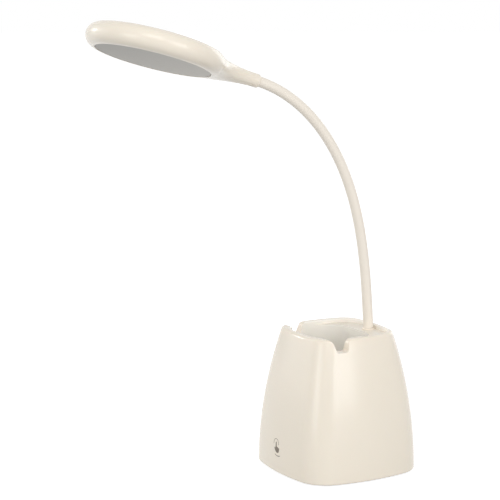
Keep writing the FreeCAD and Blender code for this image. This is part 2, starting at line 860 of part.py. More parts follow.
def link_profile(length, ball, socket):
    """Half outline of a wound link along its axis, ball end at 0 and socket end at its length."""
    points = []
    if ball:
        points += [Vector(lead_bore, 0, -math.sqrt(ball_radius**2 - lead_bore**2))]
        low = math.degrees(math.asin(-points[0].z / ball_radius))
        high = math.degrees(math.acos(ball_neck_radius / ball_radius))
        for i in range(1, ball_points + 1):
            points.append(polar_xz(ball_radius, -low + (high + low) * i / ball_points))
        points.append(Vector(ball_neck_radius, 0, shoulder - ball_neck_taper))
        points.append(Vector(core_radius, 0, shoulder))
        body_start = shoulder
    else:
        points += [Vector(lead_bore, 0, 0), Vector(core_radius, 0, 0)]
        body_start = 0.0
    body_end = length - ball_radius - socket_floor if socket else length
    turns = max(1, int((body_end - body_start) / (2 * core_land)))
    pitch = (body_end - body_start) / turns
    for i in range(turns):
        crest, valley = body_start + pitch * (i + 0.5), body_start + pitch * (i + 0.75)
        points += [
            Vector(core_radius, 0, crest),
            Vector(core_radius - core_groove, 0, valley),
            Vector(core_radius, 0, crest + pitch / 2),
        ]
    if socket:
        flare = socket_outer_radius - core_radius
        points += [
            Vector(socket_outer_radius, 0, body_end + flare),
            Vector(socket_outer_radius, 0, length + socket_lip),
        ]
        bowl = ball_radius + ball_gap
        rim_angle = math.degrees(math.asin(socket_lip / bowl))
        floor_angle = -math.degrees(math.acos(lead_bore / bowl))
        for i in range(ball_points + 1):
            p = polar_xz(bowl, rim_angle + (floor_angle - rim_angle) * i / ball_points)
            points.append(Vector(p.x, 0, length + p.z))
    else:
        points.append(Vector(lead_bore, 0, length))
    return points


def polar_xz(radius, angle_deg):
    a = math.radians(angle_deg)
    return Vector(radius * math.cos(a), 0, radius * math.sin(a))


def core_link(start, end, ball=True, socket=True):
    along = end - start
    blank = revolve(link_profile(along.Length, ball, socket))
    return at(blank, start, Rotation(UP, along))


def neck_ferrule():
    top = ledge_z + ferrule_flange
    flange = cylinder(ferrule_flange_radius, ferrule_flange, Vector(0, neck_root_y, ledge_z))
    flange = flange.makeFillet(ferrule_edge_round, edges_at(flange, top))
    stem = cylinder(ferrule_radius, ferrule_length - ferrule_flange,
                    Vector(0, neck_root_y, top - ferrule_length))
    bore_base = Vector(0, neck_root_y, top - ferrule_length - past)
    bore = cylinder(ferrule_bore, ferrule_length + 2 * past, bore_base)
    return flange.fuse(stem).cut(bore)


def ferrule_washer():
    ring_base = Vector(0, neck_root_y, ceiling_z - washer_thickness)
    ring = cylinder(washer_radius, washer_thickness, ring_base)
    hole = cylinder(ferrule_radius + ferrule_hole_gap, ceiling_z, Vector(0, neck_root_y, 0))
    return ring.cut(hole)


def hexagon(across_flats, height, bore):
    outline = Part.makePolygon([polar(across_flats / math.sqrt(3), 60 * i) for i in range(7)])
    blank = Part.Face(outline).extrude(Vector(0, 0, height))
    return blank.cut(cylinder(bore, height + 2 * past, Vector(0, 0, -past)))


def lock_nut():
    under = Vector(0, neck_root_y, ceiling_z - washer_thickness - nut_height)
    return at(hexagon(nut_across_flats, nut_height, ferrule_radius + nut_slack), under)


# ---- head, built level with its lamp face at z = 0 and its tip towards -Y --------------------------
def head_place():
    mouth = neck_path()[-1][2]
    tilt = Rotation(RIGHT, -head_tilt_deg)
    roll = Rotation(tilt.multVec(Vector(0, -1, 0)), head_roll_deg)
    turned = roll.multiply(tilt)
    return Placement(mouth - turned.multVec(collar_mouth()), turned)


def collar_mouth():
    return Vector(0, head_reach, collar_height)


def placed(shape):
    """A head piece, moved from its own level frame to the end of the neck."""
    copy = shape.copy()
    copy.Placement = head_place().multiply(copy.Placement)
    return swung(copy)


def disc_body(inset=0.0):
    """Round pebble: full-round rim, slightly crowned top, flat lamp face."""
    edge = head_edge_radius - inset
    centre = Vector(head_rim_centre, 0, head_edge_radius)
    crown = head_crown_radius - inset
    drop = math.sqrt((head_crown_radius - head_edge_radius) ** 2 - head_rim_centre**2)
    crown_z = head_edge_radius - drop
    touch = math.atan2(drop, head_rim_centre)
    join = centre + polar_xz(edge, math.degrees(touch))
    apex = Vector(0, 0, crown_z + crown)
    half = (math.pi / 2 + touch) / 2
    brow = Vector(crown * math.cos(half), 0, crown_z + crown * math.sin(half))
    low = Vector(head_rim_centre, 0, inset)
    edges = [
        line(Vector(0, 0, inset), low), arc(low, centre + Vector(edge, 0, 0), join),
        arc(join, brow, apex), line(apex, Vector(0, 0, inset)),
    ]
    return Part.Face(Part.Wire(edges)).revolve(Vector(0, 0, 0), UP, 360)


def tail_end_y():
    return head_reach - collar_straight


def tail_half_width(y):
    """Plan outline: the disc's circle, then one hollow arc tangent to it and to the collar."""
    outer = head_rim_centre + head_edge_radius - tail_tuck
    end = tail_end_y()
    hollow = (end**2 + collar_radius**2 - outer**2) / (2 * (outer - collar_radius))
    if y < outer * end / (outer + hollow):
        return math.sqrt(outer**2 - y**2)
    return collar_radius + hollow - math.sqrt(hollow**2 - (end - y) ** 2)


def tail_section(y, inset=0.0):
    """Closed superellipse across the tail."""
    share = min(max((y - tail_fall_y) / (tail_end_y() - tail_fall_y), 0.0), 1.0)
    ease = share * share * (3 - 2 * share)
    root_top, root_bottom = 2 * head_edge_radius - tail_tuck, tail_tuck
    top = root_top + (collar_height + collar_radius - root_top) * ease
    bottom = root_bottom + (collar_height - collar_radius - root_bottom) * ease
    power = 2 / (tail_squareness + (2 - tail_squareness) * ease)
    wide, tall = tail_half_width(y) - inset, (top - bottom) / 2 - inset
    halves = []
    for sign in (1, -1):
        points = []
        for i in range(section_points + 1):
            turn = math.pi * i / section_points
            x = math.sin(turn) ** power * wide * sign
            z = math.copysign(abs(math.cos(turn)) ** power, math.cos(turn)) * tall * sign
            points.append(Vector(x, y, (top + bottom) / 2 + z))
        if share < 1.0:
            curve = Part.BSplineCurve()
            curve.interpolate(Points=points, InitialTangent=RIGHT * sign, FinalTangent=RIGHT * -sign)
        else:
            curve = Part.Arc(points[0], points[section_points // 2], points[-1])
        halves.append(curve.toShape())
    return Part.Wire(halves)


def tail_body(end_y, inset=0.0):
    step = (end_y - tail_root_y) / (tail_sections - 1)
    wires = [tail_section(tail_root_y + step * i, inset) for i in range(tail_sections)]
    return Part.makeLoft(wires, True, False)


def head_blank():
    collar = cylinder(collar_radius, collar_straight, Vector(0, tail_end_y(), collar_height), REAR)
    mouth_edge = [e for e in collar.Edges if e.BoundBox.YMin > head_reach - collar_straight / 2]
    collar = collar.makeFillet(collar_edge_round, mouth_edge)
    return disc_body().fuse(tail_body(tail_end_y())).fuse(collar)


def head_hollow():
    bore = cylinder(collar_bore, head_reach, Vector(0, insert_seat_y(), collar_height), REAR)
    stem = cylinder(insert_stem_radius + insert_gap, head_reach - tail_hollow_end_y,
                    Vector(0, tail_hollow_end_y - past, collar_height), REAR)
    return disc_body(head_wall).fuse(tail_body(tail_hollow_end_y, head_wall)).fuse(bore).fuse(stem)


def half_space(upper):
    """Everything above, or below, the seam round the rim."""
    reach = 2 * head_reach
    low = head_edge_radius if upper else head_edge_radius - reach
    return box(Vector(-reach, -reach, low), Vector(reach, reach, low + reach))


def boss_spots():
    return [polar(board_boss_circle, 90 + 120 * i) for i in range(3)]


def head_top_cover():
    shell = head_blank().cut(head_hollow()).common(half_space(True))
    limit = disc_body(head_wall / 2)
    under = led_board_level + led_board_thickness
    for spot in boss_spots():
        post = cylinder(board_boss_radius, 2 * head_edge_radius, spot + Vector(0, 0, under))
        shell = shell.fuse(post.common(limit))
        pilot_base = spot + Vector(0, 0, under - past)
        pilot = cylinder(board_screw_radius + screw_clearance, small_screw_length, pilot_base)
        shell = shell.cut(pilot)
    return shell.removeSplitter()


def head_lower_ring():
    shell = head_blank().cut(head_hollow()).common(half_space(False))
    pocket = diffuser_sink + diffuser_thickness
    seat = cylinder(head_rim_centre + head_wall, seat_thickness, Vector(0, 0, pocket))
    shell = shell.fuse(seat.common(disc_body(head_wall / 2)))
    shell = shell.cut(cylinder(seat_radius, head_edge_radius + past, Vector(0, 0, -past)))
    opening = cylinder(diffuser_radius + diffuser_gap, pocket + past, Vector(0, 0, -past))
    return shell.cut(opening).removeSplitter()


def diffuser():
    plate = cylinder(diffuser_radius, diffuser_thickness, Vector(0, 0, diffuser_sink))
    return plate.makeFillet(diffuser_edge_round, edges_at(plate, diffuser_sink))


def reflector_tray():
    low = diffuser_sink + diffuser_thickness + seat_thickness
    top = led_board_level
    foot, skin = seat_radius + tray_foot, tray_thickness
    return revolve([
        Vector(seat_radius, 0, low), Vector(foot, 0, low), Vector(foot, 0, low + skin),
        Vector(seat_radius + skin, 0, low + skin), Vector(tray_top_radius + skin, 0, top),
        Vector(tray_top_radius - skin, 0, top), Vector(tray_top_radius - skin, 0, top - skin / 2),
    ])


def led_board():
    board = cylinder(led_board_radius, led_board_thickness, Vector(0, 0, led_board_level))
    for spot in boss_spots():
        board = board.cut(cylinder(board_screw_radius + fit_gap, 2 * head_edge_radius, spot))
    return board


def led_chips():
    width, depth, height = led_size
    one = box(Vector(-width / 2, -depth / 2, -height), Vector(width / 2, depth / 2, 0))
    chips = []
    for radius, count in zip((led_inner_ring, led_outer_ring), led_counts):
        for i in range(count):
            angle = 360.0 * (i + 0.5) / count
            chips.append(at(one, polar(radius, angle, led_board_level), Rotation(UP, angle)))
    return group(chips)


def led_board_screws():
    one = screw(small_screw_length, board_screw_radius, small_head_radius, small_head_height)
    under = Vector(0, 0, led_board_level - small_head_height)
    return group([at(one, spot + under) for spot in boss_spots()])


def insert_seat_y():
    """Step in the collar's bore that the insert's flange seats on."""
    return head_reach - hose_end - fit_gap - insert_flange


def thread_end_y():
    return tail_hollow_end_y - head_washer_thickness - head_nut_height - insert_thread_out


def neck_insert():
    """Steel end fitting of the hose: flange in the collar, threaded stem out to the nut."""
    seat = Vector(0, insert_seat_y(), collar_height)
    flange = cylinder(insert_flange_radius, insert_flange, seat, REAR)
    stem_end = Vector(0, thread_end_y(), collar_height)
    stem = cylinder(insert_stem_radius, insert_seat_y() - thread_end_y(), stem_end, REAR)
    bore = cylinder(insert_bore, head_reach, stem_end - REAR, REAR)
    return flange.fuse(stem).cut(bore)


def head_washer():
    seat = Vector(0, tail_hollow_end_y - head_washer_thickness, collar_height)
    ring = cylinder(head_washer_radius, head_washer_thickness, seat, REAR)
    hole = cylinder(insert_stem_radius + insert_gap, head_reach, Vector(0, 0, collar_height), REAR)
    return ring.cut(hole)


def head_nut():
    y = tail_hollow_end_y - head_washer_thickness - head_nut_height
    lying = Rotation(RIGHT, -90)
    nut = hexagon(head_nut_across_flats, head_nut_height, insert_stem_radius + nut_slack)
    return at(nut, Vector(0, y, collar_height), lying)


def head_leads():
    """Two wires from the hose's end fitting up to pads on the LED board."""
    on_board = led_board_level + led_board_thickness + lead_radius + lead_touch
    ramp = on_board - collar_height
    shapes = []
    for side in (-1, 1):
        points = [
            Vector(side * neck_lead_x, thread_end_y() - lead_touch, collar_height),
            Vector(side * neck_lead_x, led_board_radius + head_lead_ramp, collar_height),
            Vector(side * head_pad_x, led_board_radius + head_lead_ramp - 2 * ramp, on_board),
            Vector(side * head_pad_x, led_board_radius - head_pad_reach, on_board),
        ]
        shapes.append(lead(points, head_lead_bend))
    return group(shapes)


def export_all():
    os.makedirs("parts", exist_ok=True)
    for name, shape in parts.items():
        shape.exportStep(f"parts/{name}.step")
        solids = shape.Solids
        print(name, len(solids), round(sum(s.Volume for s in solids), 1), shape.isValid())


def build():
    spans = neck_path()
    hinges = [row[1] for row in spans]
    mouth = spans[-1][2]
    parts["base_housing"] = base_housing()
    parts["bottom_cover"] = bottom_cover()
    parts["non_slip_ring"] = pad_ring()
    parts["bottom_screws"] = bottom_screws()
    parts["ballast_plate"] = ballast_plate()
    parts["ballast_screws"] = ballast_screws()
    parts["battery_cell"] = battery_cell()
    parts["battery_holder"] = battery_holder()
    parts["control_board"] = control_board()
    parts["board_components"] = board_components()
    parts["board_screws"] = board_screws()
    parts["usb_socket"] = usb_socket()
    parts["touch_pad"] = touch_pad()
    parts["touch_board"] = touch_board()
    parts["touch_spring"] = touch_spring()
    parts["battery_leads"] = battery_leads()
    parts["neck_leads"] = neck_leads()
    parts["neck_ferrule"] = neck_ferrule()
    parts["ferrule_washer"] = ferrule_washer()
    parts["lock_nut"] = lock_nut()
    root = Vector(0, neck_root_y, ledge_z + ferrule_flange + ferrule_seat_gap)
    parts["neck_root_core"] = swung(core_link(root, hinges[0], ball=False))
    for number in range(neck_spans - 1):
        parts[f"neck_link_{number + 1}"] = swung(core_link(hinges[number], hinges[number + 1]))
    tip = mouth + tangent_at(spans[-1][4]) * hose_end
    parts["neck_tip_core"] = swung(core_link(hinges[-1], tip, socket=False))
    for number in range(neck_spans):
        parts[f"neck_sleeve_{number + 1}"] = swung(sleeve(number, spans))
    parts["neck_insert"] = placed(neck_insert())
    parts["head_washer"] = placed(head_washer())
    parts["head_nut"] = placed(head_nut())
    parts["head_leads"] = placed(head_leads())
    parts["head_top_cover"] = placed(head_top_cover())
    parts["head_lower_ring"] = placed(head_lower_ring())
    parts["diffuser"] = placed(diffuser())
    parts["reflector_tray"] = placed(reflector_tray())
    parts["led_board"] = placed(led_board())
    parts["led_chips"] = placed(led_chips())
    parts["led_board_screws"] = placed(led_board_screws())


def print_places():
    """Hinge places in metres; the neck's swing, the collar's mouth and the lamp face."""
    for number, (_, middle, _, a, b, _) in enumerate(neck_path()):
        lean = round(math.degrees((a + b) / 2), 3)
        print("hinge", number + 1, [round(v / 1000, 6) for v in swing().multVec(middle)], "lean", lean)
    print("swing", neck_swing_deg)
    print("mouth", [round(v, 2) for v in swing().multVec(neck_path()[-1][2])])
    print("lamp face", [round(v, 2) for v in swing().multVec(head_place().Base)])


build()
export_all()
print_places()
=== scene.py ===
import json
import math

import bmesh
import bpy
from mathutils import Matrix, Vector


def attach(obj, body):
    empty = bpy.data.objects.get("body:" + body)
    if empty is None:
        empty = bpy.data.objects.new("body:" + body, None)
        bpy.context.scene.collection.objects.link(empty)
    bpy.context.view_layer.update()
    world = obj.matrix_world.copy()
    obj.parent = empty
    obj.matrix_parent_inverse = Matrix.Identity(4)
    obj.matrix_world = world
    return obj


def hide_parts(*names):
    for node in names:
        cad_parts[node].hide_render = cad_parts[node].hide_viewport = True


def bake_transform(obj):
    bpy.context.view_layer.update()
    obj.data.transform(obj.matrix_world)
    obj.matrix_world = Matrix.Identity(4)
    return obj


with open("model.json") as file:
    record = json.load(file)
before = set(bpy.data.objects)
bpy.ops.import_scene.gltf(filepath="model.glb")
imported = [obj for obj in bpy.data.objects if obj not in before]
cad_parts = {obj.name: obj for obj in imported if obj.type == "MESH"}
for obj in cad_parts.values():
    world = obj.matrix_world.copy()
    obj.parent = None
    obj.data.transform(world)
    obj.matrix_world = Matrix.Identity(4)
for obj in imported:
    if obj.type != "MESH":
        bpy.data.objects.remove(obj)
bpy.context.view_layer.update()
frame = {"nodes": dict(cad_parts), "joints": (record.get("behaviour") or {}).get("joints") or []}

# a gooseneck lamp on a pen-holder base: finishes for every node, a finer neck sleeve and foot ring,
# the touch mark, the contacts in the inlet, and a plain studio round them

nodes = frame["nodes"]
up = Vector((0, 0, 1))


# colours are written as 0 to 255 in sRGB

def toLinear(rgb):
    shares = [value / 255 for value in rgb]
    return tuple(s / 12.92 if s <= 0.04045 else ((s + 0.055) / 1.055) ** 2.4 for s in shares) + (1.0,)


# shader groups: each reads Object coordinates and gives out a varying colour, value or normal

surface = {
    "mouldedWander": 0.12, "metalWander": 0.3,      # how much a full swing of the noise changes roughness
    "bumpHeight": 0.0002,                           # metres
    "trackShare": 0.06, "trackRoughness": 0.1, "trackBump": 0.4, "trackHeight": 0.00005,
    "cupLightFrom": -0.1, "cupLightTo": 0.5,            # facing at which the painted light on the cup's inner walls starts and is full
}


def newShaderGroup(name, inputs, outputs):
    group = bpy.data.node_groups.new(name, "ShaderNodeTree")
    for socketName, kind, value in inputs:
        group.interface.new_socket(socketName, in_out="INPUT", socket_type=kind).default_value = value
    for socketName, kind in outputs:
        group.interface.new_socket(socketName, in_out="OUTPUT", socket_type=kind)
    return group, group.nodes.new("NodeGroupInput").outputs, group.nodes.new("NodeGroupOutput").inputs


def addNode(tree, kind, settings=None, **links):
    node = tree.nodes.new(kind)
    for key, value in (settings or {}).items():
        setattr(node, key, value)
    for key, value in links.items():
        socket = node.inputs[int(key[1:])] if key[0] == "i" and key[1:].isdigit() else node.inputs[key]
        if isinstance(value, bpy.types.NodeSocket):
            tree.links.new(value, socket)
        else:
            socket.default_value = value
    return node


def mathNode(tree, operation, a, b=0.0):
    return addNode(tree, "ShaderNodeMath", {"operation": operation}, i0=a, i1=b).outputs[0]


def vectorNode(tree, operation, a, b=(0.0, 0.0, 0.0), output=0):
    return addNode(tree, "ShaderNodeVectorMath", {"operation": operation}, i0=a, i1=b).outputs[output]


def vectorOf(tree, x=0.0, y=0.0, z=0.0):
    return addNode(tree, "ShaderNodeCombineXYZ", i0=x, i1=y, i2=z).outputs[0]


def mixColours(tree, factor, a, b, blend="MIX"):
    settings = {"data_type": "RGBA", "blend_type": blend}
    return addNode(tree, "ShaderNodeMix", settings, i0=factor, i6=a, i7=b).outputs[2]


def noiseNode(tree, place, scale, detail):
    return addNode(tree, "ShaderNodeTexNoise", Vector=place, Scale=scale, Detail=detail).outputs[0]


def strayRoughness(tree, roughness, noise, wander):
    stray = mathNode(tree, "MULTIPLY", mathNode(tree, "SUBTRACT", noise, 0.5), wander)
    return mathNode(tree, "ADD", roughness, stray)


def bumpNode(tree, height, strength, distance):
    return addNode(tree, "ShaderNodeBump", Height=height, Strength=strength, Distance=distance).outputs[0]


def shadeByMask(tree, colour, mask, depth):
    # colour times 1 - depth where the mask is 0, up to 1 + depth where it is 1
    centred = mathNode(tree, "SUBTRACT", mask, 0.5)
    factor = mathNode(tree, "MULTIPLY_ADD", centred, mathNode(tree, "MULTIPLY", depth, 2.0))
    factor.node.inputs[2].default_value = 1.0
    grey = addNode(tree, "ShaderNodeCombineColor", i0=factor, i1=factor, i2=factor).outputs[0]
    return mixColours(tree, 1.0, colour, grey, "MULTIPLY")


def buildMouldedSkin():
    # smooth moulded or rubbery surface: faint cloudy tone and a fine grain
    group, given, out = newShaderGroup(
        "mouldedSkin",
        [("Color", "NodeSocketColor", (0.8, 0.8, 0.8, 1)), ("Tone", "NodeSocketFloat", 0.02),
         ("Tone Scale", "NodeSocketFloat", 30.0), ("Roughness", "NodeSocketFloat", 0.3),
         ("Grain Scale", "NodeSocketFloat", 1500.0), ("Grain Depth", "NodeSocketFloat", 0.05)],
        [("Color", "NodeSocketColor"), ("Roughness", "NodeSocketFloat"), ("Normal", "NodeSocketVector")])
    place = addNode(group, "ShaderNodeTexCoord").outputs["Object"]
    cloud = noiseNode(group, place, given["Tone Scale"], 3.0)
    grain = noiseNode(group, place, given["Grain Scale"], 2.0)
    group.links.new(shadeByMask(group, given["Color"], cloud, given["Tone"]), out["Color"])
    group.links.new(strayRoughness(group, given["Roughness"], grain, surface["mouldedWander"]), out["Roughness"])
    group.links.new(bumpNode(group, grain, given["Grain Depth"], surface["bumpHeight"]), out["Normal"])
    return group


def buildMetalSkin():
    # plated or cast metal: one noise, stretched into streaks or left as pits
    group, given, out = newShaderGroup(
        "metalSkin",
        [("Color", "NodeSocketColor", (0.6, 0.6, 0.6, 1)), ("Tone", "NodeSocketFloat", 0.08),
         ("Stretch", "NodeSocketVector", (1.0, 1.0, 1.0)), ("Scale", "NodeSocketFloat", 900.0),
         ("Roughness", "NodeSocketFloat", 0.35), ("Depth", "NodeSocketFloat", 0.2)],
        [("Color", "NodeSocketColor"), ("Roughness", "NodeSocketFloat"), ("Normal", "NodeSocketVector")])
    place = addNode(group, "ShaderNodeTexCoord").outputs["Object"]
    marks = noiseNode(group, vectorNode(group, "MULTIPLY", place, given["Stretch"]), given["Scale"], 4.0)
    group.links.new(shadeByMask(group, given["Color"], marks, given["Tone"]), out["Color"])
    group.links.new(strayRoughness(group, given["Roughness"], marks, surface["metalWander"]), out["Roughness"])
    group.links.new(bumpNode(group, marks, given["Depth"], surface["bumpHeight"]), out["Normal"])
    return group


def buildBoardSkin():
    # printed board: cells of solder mask with raised tracks between them
    group, given, out = newShaderGroup(
        "boardSkin",
        [("Mask Color", "NodeSocketColor", (0.02, 0.15, 0.06, 1)),
         ("Track Color", "NodeSocketColor", (0.1, 0.4, 0.2, 1)),
         ("Cell Scale", "NodeSocketFloat", 350.0), ("Roughness", "NodeSocketFloat", 0.35)],
        [("Color", "NodeSocketColor"), ("Roughness", "NodeSocketFloat"), ("Normal", "NodeSocketVector")])
    place = addNode(group, "ShaderNodeTexCoord").outputs["Object"]
    cells = addNode(group, "ShaderNodeTexVoronoi", {"feature": "DISTANCE_TO_EDGE"},
                    Vector=place, Scale=given["Cell Scale"])
    track = mathNode(group, "LESS_THAN", cells.outputs[0], surface["trackShare"])
    group.links.new(mixColours(group, track, given["Mask Color"], given["Track Color"]), out["Color"])
    rougher = mathNode(group, "MULTIPLY", track, surface["trackRoughness"])
    group.links.new(mathNode(group, "ADD", given["Roughness"], rougher), out["Roughness"])
    group.links.new(bumpNode(group, track, surface["trackBump"], surface["trackHeight"]), out["Normal"])
    return group


def buildPaintedCupLightMask():
    # painted light: 1 on walls that face the middle of the pen cup, which get a lighter tone standing in for the
    # light inside the cup, 0 on those that face away from it
    group, given, out = newShaderGroup(
        "paintedCupLightMask", [("Middle", "NodeSocketVector", (0.0, 0.0, 0.0))], [("Mask", "NodeSocketFloat")])
    coordinates = addNode(group, "ShaderNodeTexCoord").outputs
    toward = vectorNode(group, "SUBTRACT", given["Middle"], coordinates["Object"])
    heading = vectorNode(group, "NORMALIZE", vectorNode(group, "MULTIPLY", toward, (1.0, 1.0, 0.0)))
    facing = vectorNode(group, "DOT_PRODUCT", heading, coordinates["Normal"], "Value")
    ramp = addNode(group, "ShaderNodeMapRange", {"interpolation_type": "SMOOTHSTEP"},
                   i0=facing, i1=surface["cupLightFrom"], i2=surface["cupLightTo"])
    group.links.new(ramp.outputs[0], out["Mask"])
    return group


def buildDiffuserShadeMask():
    # painted shade: 0 at one point of the piece, rising evenly to 1 at another, for the diffuser's shade that
    # deepens toward one end
    group, given, out = newShaderGroup(
        "diffuserShadeMask",
        [("From", "NodeSocketVector", (0.0, 0.0, 0.0)), ("To", "NodeSocketVector", (0.0, 1.0, 0.0))],
        [("Mask", "NodeSocketFloat")])
    place = addNode(group, "ShaderNodeTexCoord").outputs["Object"]
    path = vectorNode(group, "SUBTRACT", given["To"], given["From"])
    offset = vectorNode(group, "SUBTRACT", place, given["From"])
    along = vectorNode(group, "DOT_PRODUCT", offset, path, "Value")
    whole = vectorNode(group, "DOT_PRODUCT", path, path, "Value")
    share = addNode(group, "ShaderNodeClamp", i0=mathNode(group, "DIVIDE", along, whole))
    group.links.new(share.outputs[0], out["Mask"])
    return group


skins = {"moulded": buildMouldedSkin(), "metal": buildMetalSkin(), "board": buildBoardSkin()}
masks = {"paintedCupLight": buildPaintedCupLightMask(), "diffuserShade": buildDiffuserShadeMask()}

satinCream = {
    "skin": "moulded", "Color": (240, 229, 213), "Roughness": 0.25, "Tone": 0.012, "Grain Depth": 0.04,
    "shader": {"Coat Weight": 0.15, "Coat Roughness": 0.12, "Specular IOR Level": 0.42, "Subsurface Weight": 0.04},
}
bareMetal = {"Metallic": 1.0}

# skin is the group, shader holds the shader's own sockets, and the mask's colour shows where a mask is 1; both
# masks paint light and shade into the colour
finishes = {
    "bodyCream": satinCream,
    # painted light: the walls facing into the pen cup get a lighter, greyer tone for the light inside the cup
    "cupCreamPaintedLight": {**satinCream, "mask": "paintedCupLight", "Middle": (0.0, -0.006, 0.0), "otherColor": (248, 243, 234)},
    "sleeveCream": {"skin": "moulded", "Color": (237, 229, 217), "Roughness": 0.42, "Tone": 0.015,
                    "Grain Scale": 2200.0, "Grain Depth": 0.06},
    "padRubber": {"skin": "moulded", "Color": (205, 198, 188), "Roughness": 0.75, "Tone": 0.05, "Grain Depth": 0.5},
    # painted shade: the opal diffuser is painted dark grey for the shade under the head, darkest at the head's
    # front tip and lighter toward the tail
    "shadedOpalPlate": {"skin": "moulded", "Color": (118, 114, 104), "Roughness": 0.38, "Tone": 0.02,
                  "Grain Scale": 3200.0, "Grain Depth": 0.12, "mask": "diffuserShade", "From": (0.0, -0.181, 0.306),
                  "To": (0.0, -0.101, 0.286), "otherColor": (174, 169, 159)},
    "castIron": {"skin": "metal", "Color": (92, 92, 95), "Roughness": 0.6, "Tone": 0.25, "Depth": 0.7,
                 "shader": {"Metallic": 0.85}},
    "woundSteel": {"skin": "metal", "Color": (168, 168, 170), "Roughness": 0.3, "shader": bareMetal},
    "zincSteel": {"skin": "metal", "Color": (196, 197, 200), "Roughness": 0.28, "Stretch": (1.0, 1.0, 6.0),
                  "shader": bareMetal},
    "greenBoard": {"skin": "board", "Mask Color": (22, 92, 50), "Track Color": (48, 136, 82)},
    "whiteBoard": {"skin": "board", "Mask Color": (233, 233, 230), "Track Color": (214, 214, 210),
                   "Cell Scale": 220.0},
    "chipPhosphor": {"skin": "moulded", "Color": (243, 221, 120), "Roughness": 0.45, "Tone": 0.06},
    "springBronze": {"skin": "metal", "Color": (206, 158, 98), "Roughness": 0.3, "shader": bareMetal},
    "cellWrap": {"skin": "moulded", "Color": (64, 118, 165), "Roughness": 0.22, "Tone": 0.03},
    "blackPlastic": {"skin": "moulded", "Color": (32, 32, 34), "Roughness": 0.5, "Tone": 0.1, "Grain Depth": 0.3},
    "whiteReflector": {"skin": "moulded", "Color": (240, 240, 236), "Roughness": 0.2, "Tone": 0.01},
    "redWire": {"skin": "moulded", "Color": (170, 42, 34), "Roughness": 0.45, "Tone": 0.04},
    "portSteel": {"skin": "metal", "Color": (205, 206, 208), "Roughness": 0.22, "shader": bareMetal},
    "contactGold": {"skin": "metal", "Color": (232, 190, 98), "Roughness": 0.22, "shader": bareMetal},
    "printInk": {"skin": "moulded", "Color": (120, 110, 97), "Roughness": 0.5, "Tone": 0.05},
}


def makeFinish(name, settings):
    material = bpy.data.materials.new(name)
    material.use_nodes = True
    tree = material.node_tree
    shader = tree.nodes["Principled BSDF"]
    skin = addNode(tree, "ShaderNodeGroup", {"node_tree": skins[settings["skin"]]})
    for key, value in settings.items():
        if key in skin.inputs:
            skin.inputs[key].default_value = toLinear(value) if key.endswith("Color") else value
    # a mask paints light or shade: the base colour where it is 0, the mask's colour where it is 1
    if "mask" in settings:
        mask = addNode(tree, "ShaderNodeGroup", {"node_tree": masks[settings["mask"]]})
        for key in mask.inputs.keys():
            mask.inputs[key].default_value = settings[key]
        colour, paintedShadingColour = toLinear(settings["Color"]), toLinear(settings["otherColor"])
        tree.links.new(mixColours(tree, mask.outputs[0], colour, paintedShadingColour), skin.inputs["Color"])
    for source, target in (("Color", "Base Color"), ("Roughness", "Roughness"), ("Normal", "Normal")):
        tree.links.new(skin.outputs[source], shader.inputs[target])
    for key, value in settings.get("shader", {}).items():
        shader.inputs[key].default_value = value
    return material


materials = {name: makeFinish(name, settings) for name, settings in finishes.items()}
print("materials", len(materials))

# which finish each CAD node wears, by the start of its name
nodeFinishes = [
    ("base_housing", "cupCreamPaintedLight"), ("bottom_cover", "bodyCream"), ("head_top", "bodyCream"),
    ("head_lower", "bodyCream"), ("neck_sleeve", "sleeveCream"), ("neck_ferrule", "bodyCream"),
    ("non_slip", "padRubber"), ("diffuser", "shadedOpalPlate"), ("ballast_plate", "castIron"),
    ("neck_link", "woundSteel"), ("neck_root", "woundSteel"), ("neck_tip", "woundSteel"),
    ("control_board", "greenBoard"), ("touch_board", "greenBoard"), ("led_board_screws", "zincSteel"),
    ("led_board", "whiteBoard"), ("led_chips", "chipPhosphor"), ("touch_", "springBronze"),
    ("battery_cell", "cellWrap"), ("battery_leads", "redWire"), ("neck_leads", "redWire"),
    ("head_leads", "redWire"), ("battery_holder", "blackPlastic"), ("board_components", "blackPlastic"),
    ("reflector", "whiteReflector"), ("usb", "portSteel"), ("", "zincSteel"),
]


def dressNodes():
    for name, node in nodes.items():
        finish = next(finish for start, finish in nodeFinishes if name.startswith(start))
        node.data.materials.clear()
        node.data.materials.append(materials[finish])


dressNodes()
print("nodes dressed", len(nodes))


# geometry trees, and the plain meshes that grow from them; lengths are in metres from here on

weldDistance = 1e-6


def newObject(name, data):
    made = bpy.data.objects.new(name, data)
    bpy.context.scene.collection.objects.link(made)
    return made


def newGeometryTree(name, inputs):
    tree = bpy.data.node_groups.new(name, "GeometryNodeTree")
    tree.interface.new_socket("Geometry", in_out="INPUT", socket_type="NodeSocketGeometry")
    for socketName, kind in inputs:
        tree.interface.new_socket(socketName, in_out="INPUT", socket_type=kind)
    tree.interface.new_socket("Geometry", in_out="OUTPUT", socket_type="NodeSocketGeometry")
    return tree, tree.nodes.new("NodeGroupInput").outputs, tree.nodes.new("NodeGroupOutput").inputs[0]


def joinParts(tree, *parts):
    both = addNode(tree, "GeometryNodeJoinGeometry")
    for part in parts:
        tree.links.new(part, both.inputs[0])
    return both.outputs[0]


def shiftPart(tree, part, shift):
    return addNode(tree, "GeometryNodeTransform", Geometry=part, Translation=shift).outputs[0]


def extrudeFaces(tree, faces, offset):
    return addNode(tree, "GeometryNodeExtrudeMesh", {"mode": "FACES"}, Mesh=faces,
                   **{"Offset Scale": offset, "Individual": False}).outputs[0]


